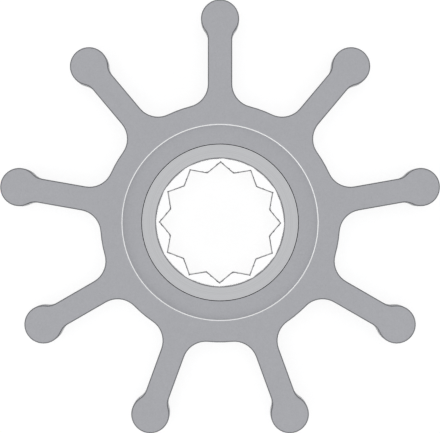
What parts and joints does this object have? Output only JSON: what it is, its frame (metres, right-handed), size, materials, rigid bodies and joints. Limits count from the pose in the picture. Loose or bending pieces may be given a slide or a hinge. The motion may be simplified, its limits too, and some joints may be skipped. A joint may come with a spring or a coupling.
{
  "type": "flexible pump impeller",
  "caption": "Rubber pump impeller: straight radial blades with round wiping beads on a hub bonded to a metal insert with a serrated bore.",
  "frame": {"origin": "on the impeller's axis, in the plane of its lower end face", "axes": "+Z along the bore's axis towards the upper end face, +Y along the first blade, +X a quarter turn clockwise from it seen from above"},
  "size_m": [0.0564, 0.0556, 0.0318],
  "materials": {
    "rubber": "satin grey moulded rubber",
    "insert_metal": "fine turned end faces"
  },
  "bodies": {
    "root": {"rubber_body": "rubber", "serrated_insert": "insert_metal"}
  },
  "joints": []
}
